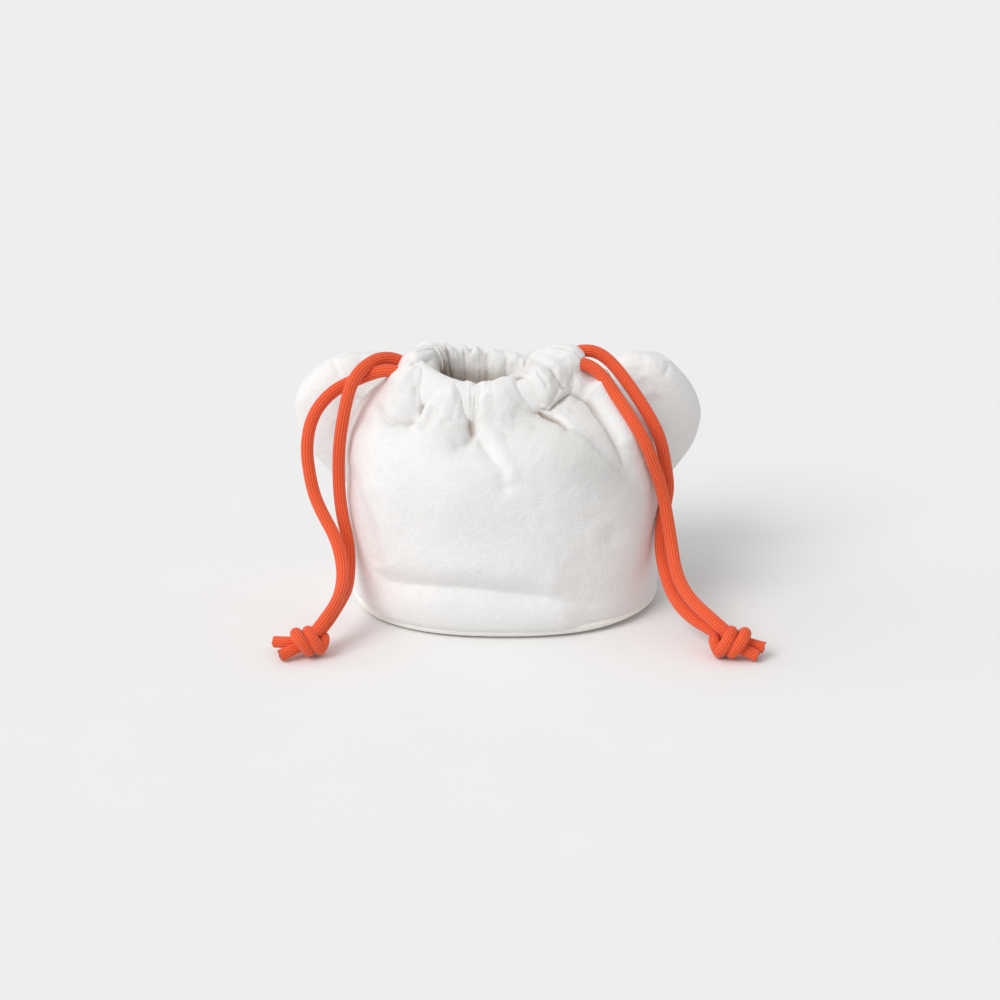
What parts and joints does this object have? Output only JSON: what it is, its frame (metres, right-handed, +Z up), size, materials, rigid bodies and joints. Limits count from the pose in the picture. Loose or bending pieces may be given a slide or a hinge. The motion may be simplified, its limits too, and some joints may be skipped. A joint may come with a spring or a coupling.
{
  "type": "plush drawstring pouch",
  "caption": "Soft oval plush pouch with padded round ears, a gathered cord casing round its mouth and a knotted drawcord at each side, for carrying small things.",
  "frame": {"origin": "middle of the base panel's underside, on the surface that the pouch stands on", "axes": "+X to the viewer's right along the pouch's width, +Y to the back, away from the knots, +Z up through the mouth"},
  "size_m": [0.2123, 0.1352, 0.116],
  "materials": {
    "plush": "short-pile plush, matt with a soft sheen",
    "cord": "matt braided cord"
  },
  "bodies": {
    "root": {"pouch_body": "plush", "base_panel": "plush", "casing_front": "plush", "casing_back": "plush", "ear_left": "plush", "ear_right": "plush", "cord_left_front": "cord", "cord_left_back": "cord", "cord_left_in_casing": "cord", "knot_left": "cord", "cord_right_front": "cord", "cord_right_back": "cord", "cord_right_in_casing": "cord", "knot_right": "cord"}
  },
  "joints": []
}
